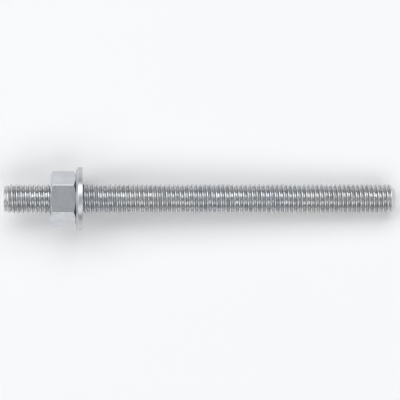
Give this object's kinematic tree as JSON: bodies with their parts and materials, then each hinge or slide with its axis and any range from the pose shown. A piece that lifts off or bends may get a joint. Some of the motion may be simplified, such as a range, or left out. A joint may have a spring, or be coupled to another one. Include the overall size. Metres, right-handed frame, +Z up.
{
  "type": "threaded anchor rod with nut and washer",
  "caption": "Fully threaded anchor rod with a hexagon nut and a chamfered washer near its free end, lying on its side.",
  "frame": {"origin": "centre of the washer's bearing face, on the rod's axis", "axes": "+X runs along the rod to the end that is set in the wall, and +Z is up; the rod lies on its side and leans 3.07 degrees down towards +X, on the washer's rim and the thread at that end, with a flat of the nut on top"},
  "size_m": [0.1302, 0.021, 0.0211],
  "materials": {
    "rod_steel": "zinc-plated, rolled thread",
    "nut_steel": "zinc-plated, cold-formed",
    "washer_steel": "zinc-plated, punched and turned"
  },
  "bodies": {
    "rod": {"threaded_rod": "rod_steel"},
    "washer": {"washer": "washer_steel"},
    "nut": {"hex_nut": "nut_steel"}
  },
  "joints": [
    {"name": "washer_slide", "type": "slide", "parent": "rod", "child": "washer", "axis": [0.9986, 0, -0.0536], "range_m": [-0.0154, 0.10395]},
    {"name": "nut_spin", "type": "hinge", "parent": "washer", "child": "nut", "pos_m": [0, 0, 0], "axis": [0.9986, 0, -0.0536], "range_deg": [-3697, 24949]}
  ],
  "couplings": [
    {"joint": "nut_spin", "follows": "washer_slide", "rad_per_m": 4188.8}
  ]
}
